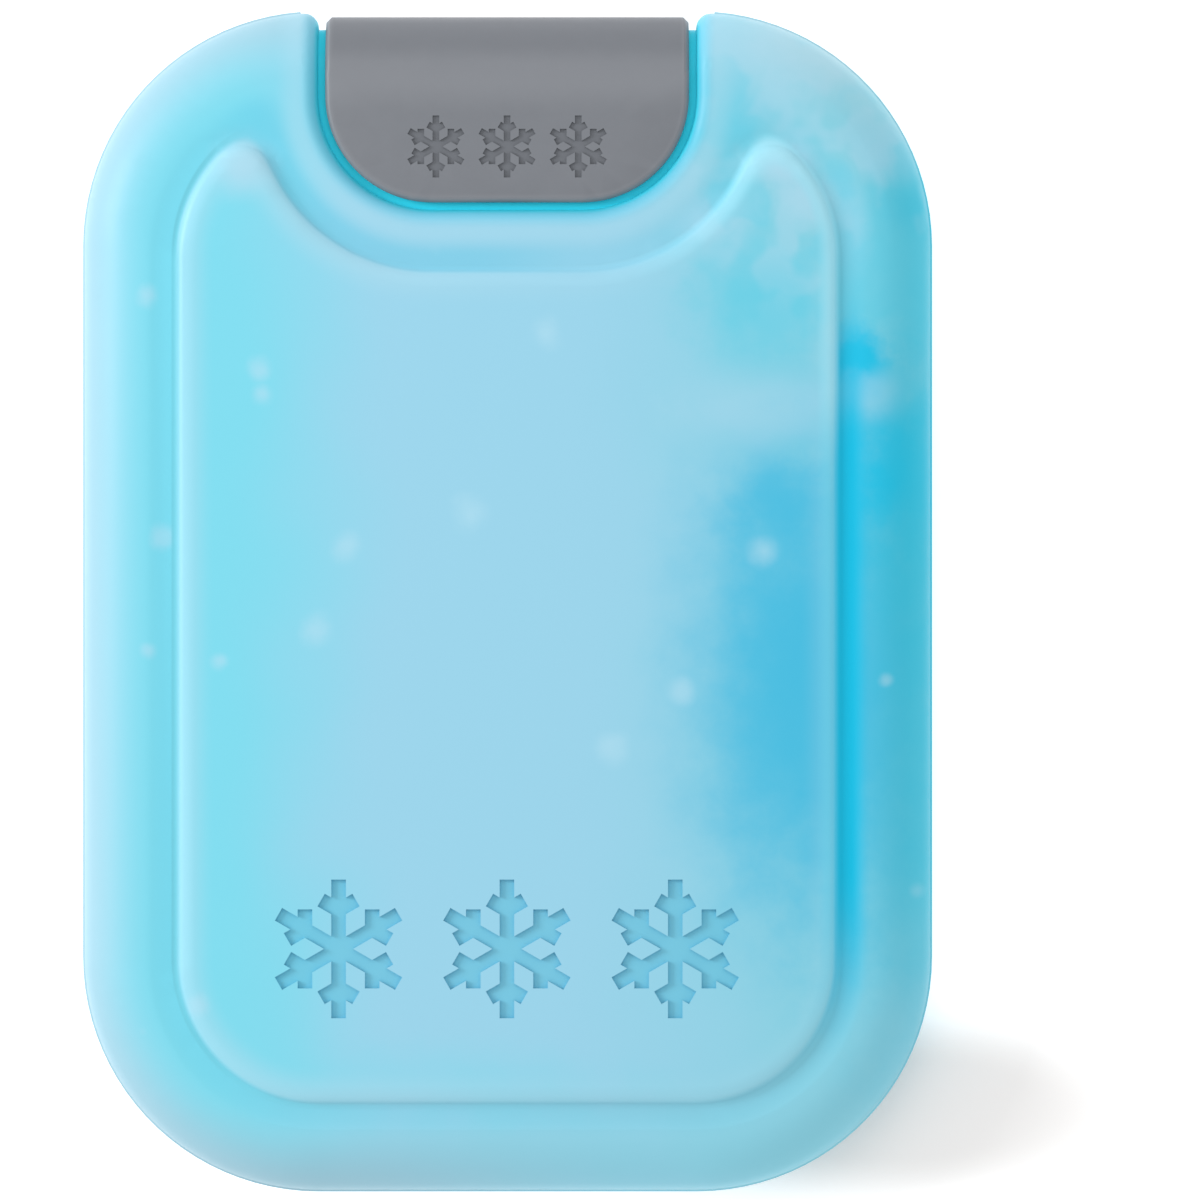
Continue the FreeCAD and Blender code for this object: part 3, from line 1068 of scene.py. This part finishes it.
@dataclass(frozen=True)
class PlugFinish:
    """Natural, slightly cloudy moulded plastic.

    Attributes:
        surface: How it takes the light.
        cloud_scale: The scale of its clouds.
    """

    surface: MouldedSurface = MouldedSurface(grain=4.0, ior=1.5)
    cloud_scale: float = 0.6

    def build(self, effects: Effects) -> bpy.types.Material:
        """Makes the material.

        Args:
            effects: The shared node groups.

        Returns:
            The material.
        """
        dress = Dress("plug_plastic")
        clouds = dress.graph.noise(dress.place, self.cloud_scale, detail=4.0)
        colour = dress.graph.mix(clouds, Natural.CLOUDY.rgba(), Natural.PALE.rgba())
        self.surface.apply(dress, effects, colour)
        return dress.material


class SkinTree:
    """The Geometry Nodes tree that turns a solid's loose facets into one closed, smooth skin."""

    WELD = "Weld distance"
    CREASE = "Crease angle"
    MATERIAL = "Material"

    def __init__(self) -> None:
        """Builds the tree once."""
        self.tree = bpy.data.node_groups.new("welded_skin", "GeometryNodeTree")
        graph = Graph(self.tree)
        faces = self.tree.interface
        faces.new_socket(name="Geometry", in_out="INPUT", socket_type="NodeSocketGeometry")
        self.identifiers = {
            name: faces.new_socket(name=name, in_out="INPUT", socket_type=kind).identifier
            for name, kind in ((self.WELD, "NodeSocketFloat"), (self.CREASE, "NodeSocketFloat"),
                               (self.MATERIAL, "NodeSocketMaterial"))
        }
        faces.new_socket(name="Geometry", in_out="OUTPUT", socket_type="NodeSocketGeometry")

        inputs, outputs = graph.add("NodeGroupInput"), graph.add("NodeGroupOutput")
        welded = graph.add("GeometryNodeMergeByDistance")
        graph.feed(welded.inputs["Geometry"], inputs.outputs["Geometry"])
        graph.feed(welded.inputs["Distance"], inputs.outputs[self.WELD])
        angle = graph.add("GeometryNodeInputMeshEdgeAngle")
        is_crease = graph.add("FunctionNodeCompare", angle.outputs["Unsigned Angle"],
                              inputs.outputs[self.CREASE], data_type="FLOAT",
                              operation="GREATER_THAN")
        smooth_faces = graph.add("GeometryNodeSetShadeSmooth", domain="FACE")
        graph.feed(smooth_faces.inputs["Geometry"], welded.outputs["Geometry"])
        crisp_edges = graph.add("GeometryNodeSetShadeSmooth", domain="EDGE")
        graph.feed(crisp_edges.inputs["Geometry"], smooth_faces.outputs["Geometry"])
        graph.feed(crisp_edges.inputs["Selection"], is_crease.outputs["Result"])
        graph.feed(crisp_edges.inputs["Shade Smooth"], False)
        realized = graph.add("GeometryNodeRealizeInstances")
        graph.feed(realized.inputs["Geometry"], crisp_edges.outputs["Geometry"])
        dressed = graph.add("GeometryNodeSetMaterial")
        graph.feed(dressed.inputs["Geometry"], realized.outputs["Geometry"])
        graph.feed(dressed.inputs["Material"], inputs.outputs[self.MATERIAL])
        graph.feed(outputs.inputs["Geometry"], dressed.outputs["Geometry"])

    def apply(self, piece: bpy.types.Object, weld: float, crease: float,
              material: bpy.types.Material) -> None:
        """Runs the tree on a piece and keeps the result as its plain mesh.

        Args:
            piece: The piece, with a solid's loose facets as its mesh.
            weld: How near two corners are to be one, in metres.
            crease: The angle past which an edge stays crisp, in radians.
            material: The finish.
        """
        modifier = piece.modifiers.new("welded_skin", "NODES")
        modifier.node_group = self.tree
        modifier[self.identifiers[self.WELD]] = weld
        modifier[self.identifiers[self.CREASE]] = crease
        modifier[self.identifiers[self.MATERIAL]] = material
        even = piece.modifiers.new("even_normals", "WEIGHTED_NORMAL")
        even.keep_sharp = True
        depsgraph = bpy.context.evaluated_depsgraph_get()
        mesh = bpy.data.meshes.new_from_object(piece.evaluated_get(depsgraph), depsgraph=depsgraph)
        piece.modifiers.clear()
        facets = piece.data
        piece.data = mesh
        mesh.name = piece.name
        bpy.data.meshes.remove(facets)


@dataclass(frozen=True)
class Skin:
    """A welded, smoothly shaded copy of one of the model's solids, which it stands for.

    Attributes:
        node: The node that it copies and replaces.
        slot: The record's slot for its finish. It is not used.
        name: The piece's name.
        weld: How near two corners are to be one, in metres.
        crease: The angle past which an edge stays crisp, in degrees.
    """

    node: Node
    slot: Slot
    name: str
    weld: float = 0.002 * MM
    crease: float = 50.0

    def build(self, frame: dict, tree: SkinTree, material: bpy.types.Material) -> bpy.types.Object:
        """Makes the piece and gives it its place and finish.

        Args:
            frame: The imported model.
            tree: The tree that welds and shades it.
            material: Its finish.

        Returns:
            The piece.
        """
        mesh = frame["nodes"][self.node.value].data.copy()
        mesh.materials.clear()
        piece = bpy.data.objects.new(self.name, mesh)
        bpy.context.scene.collection.objects.link(piece)
        tree.apply(piece, self.weld, math.radians(self.crease), material)
        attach(piece, ROOT_BODY)
        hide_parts(self.node.value)
        return piece


@dataclass(frozen=True)
class SoftLight:
    """A square soft light that points at the pack.

    Attributes:
        name: Its name.
        place: Where it stands, in metres.
        size: Its side, in metres.
        power: Its power, in watts.
    """

    name: str
    place: tuple[float, float, float]
    size: float
    power: float

    def build(self) -> None:
        """Makes the light."""
        data = bpy.data.lights.new(self.name, "AREA")
        data.size = self.size
        data.energy = self.power
        light = bpy.data.objects.new(self.name, data)
        light.location = self.place
        light.rotation_euler = (-Vector(self.place)).to_track_quat("-Z", "Y").to_euler()
        bpy.context.scene.collection.objects.link(light)


@dataclass(frozen=True)
class TopCamera:
    """The camera, which looks straight down on the pack with its top towards the cover.

    Attributes:
        frame_width: How much the picture spans at the pack's outline, in metres.
        centre_x: How far right of the pack the picture's middle lies, in metres.
        centre_y: How far above the pack's middle the picture's middle lies, in metres.
        distance: The camera's height over the pack's outline, in metres.
        outline_height: The height of the pack's outline, in metres.
        sensor: The sensor's width, in millimetres.
        far_end: How far it sees, in metres.
    """

    frame_width: float = 0.18305
    centre_x: float = 14.1 * MM
    centre_y: float = 0.2 * MM
    distance: float = 1.2
    outline_height: float = 8.5 * MM
    sensor: float = 36.0
    far_end: float = 10.0

    def build(self) -> None:
        """Makes the camera."""
        data = bpy.data.cameras.new("camera")
        data.sensor_width = self.sensor
        data.lens = self.sensor * self.distance / self.frame_width
        data.clip_end = self.far_end
        camera = bpy.data.objects.new("camera", data)
        camera.location = (self.centre_x, self.centre_y, self.outline_height + self.distance)
        bpy.context.scene.collection.objects.link(camera)
        bpy.context.scene.camera = camera


@dataclass(frozen=True)
class WhiteFloor:
    """A wide matt white floor under the pack. It glows a little, except at the pack's lower
    right, where alone the pack's shadow shows.

    Attributes:
        half_side: Half its side, in metres.
        shadow: Where it doesn't glow.
        shadow_core: How far out it doesn't glow at all, as a share of the shadow's size.
        tint_scale: The scale of its change of tint.
        roughness: Its roughness.
    """

    half_side: float = 6.0
    shadow: Ellipse = Ellipse(60.0, -78.0, 57.0, 20.0)
    shadow_core: float = 0.35
    tint_scale: float = 0.01
    roughness: float = 0.9

    def build(self) -> None:
        """Makes the floor."""
        side = self.half_side
        mesh = bpy.data.meshes.new("floor")
        mesh.from_pydata([(-side, -side, 0), (side, -side, 0), (side, side, 0), (-side, side, 0)],
                         [], [(0, 1, 2, 3)])
        mesh.materials.append(self._material())
        floor = bpy.data.objects.new("floor", mesh)
        bpy.context.scene.collection.objects.link(floor)

    def _material(self) -> bpy.types.Material:
        """Makes its material.

        Returns:
            The material.
        """
        dress = Dress("floor_white")
        graph = dress.graph
        colour = graph.mix(graph.noise(dress.place, self.tint_scale), White.DULL.rgba(),
                           White.BRIGHT.rgba())
        reach = graph.reach(dress.place, self.shadow.stretch, self.shadow.shift)
        glow = graph.mix(graph.smooth(reach, self.shadow_core, 1.0), White.FAINT_GLOW.rgba(),
                         White.GLOW.rgba())
        dress.set(Base_Color=colour, Roughness=self.roughness, Emission_Color=glow,
                  Emission_Strength=1.0)
        return dress.material


@dataclass(frozen=True)
class Studio:
    """The floor, the even white surround, the soft lights and the camera.

    Attributes:
        floor: The floor.
        surround: The surround's strength.
        lights: The lights.
        camera: The camera.
    """

    floor: WhiteFloor = WhiteFloor()
    surround: float = 0.84
    lights: tuple[SoftLight, ...] = (
        SoftLight("key_light", place=(-0.85, 0.26, 0.44), size=0.35, power=5.2),
        SoftLight("top_light", place=(-0.10, 0.60, 1.00), size=0.6, power=1.0),
    )
    camera: TopCamera = TopCamera()

    def build(self) -> None:
        """Makes them all."""
        self.floor.build()
        self._build_surround()
        for light in self.lights:
            light.build()
        self.camera.build()

    def _build_surround(self) -> None:
        """Makes the even white surround."""
        world = bpy.data.worlds.new("studio")
        world.use_nodes = True
        background = world.node_tree.nodes["Background"]
        background.inputs["Color"].default_value = White.PURE.rgba()
        background.inputs["Strength"].default_value = self.surround
        bpy.context.scene.world = world


def main() -> None:
    """Loads the model and builds the skins, the finishes and the studio in order."""
    logging.basicConfig(level=logging.INFO, format="%(name)s: %(message)s")
    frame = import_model()
    bpy.context.scene.view_settings.view_transform = "Standard"

    effects = Effects()
    tree = SkinTree()
    for skin, finish in (
        (Skin(Node.PACK, Slot.PACK, "pack_skin"), FrozenPackFinish()),
        (Skin(Node.COVER, Slot.COVER, "cover_skin"), CoverFinish()),
        (Skin(Node.PLUG, Slot.PLUG, "plug_skin"), PlugFinish()),
    ):
        piece = skin.build(frame, tree, finish.build(effects))
        log.info("%s: %d faces", piece.name, len(piece.data.polygons))
    Studio().build()


if __name__ == "__main__":
    main()
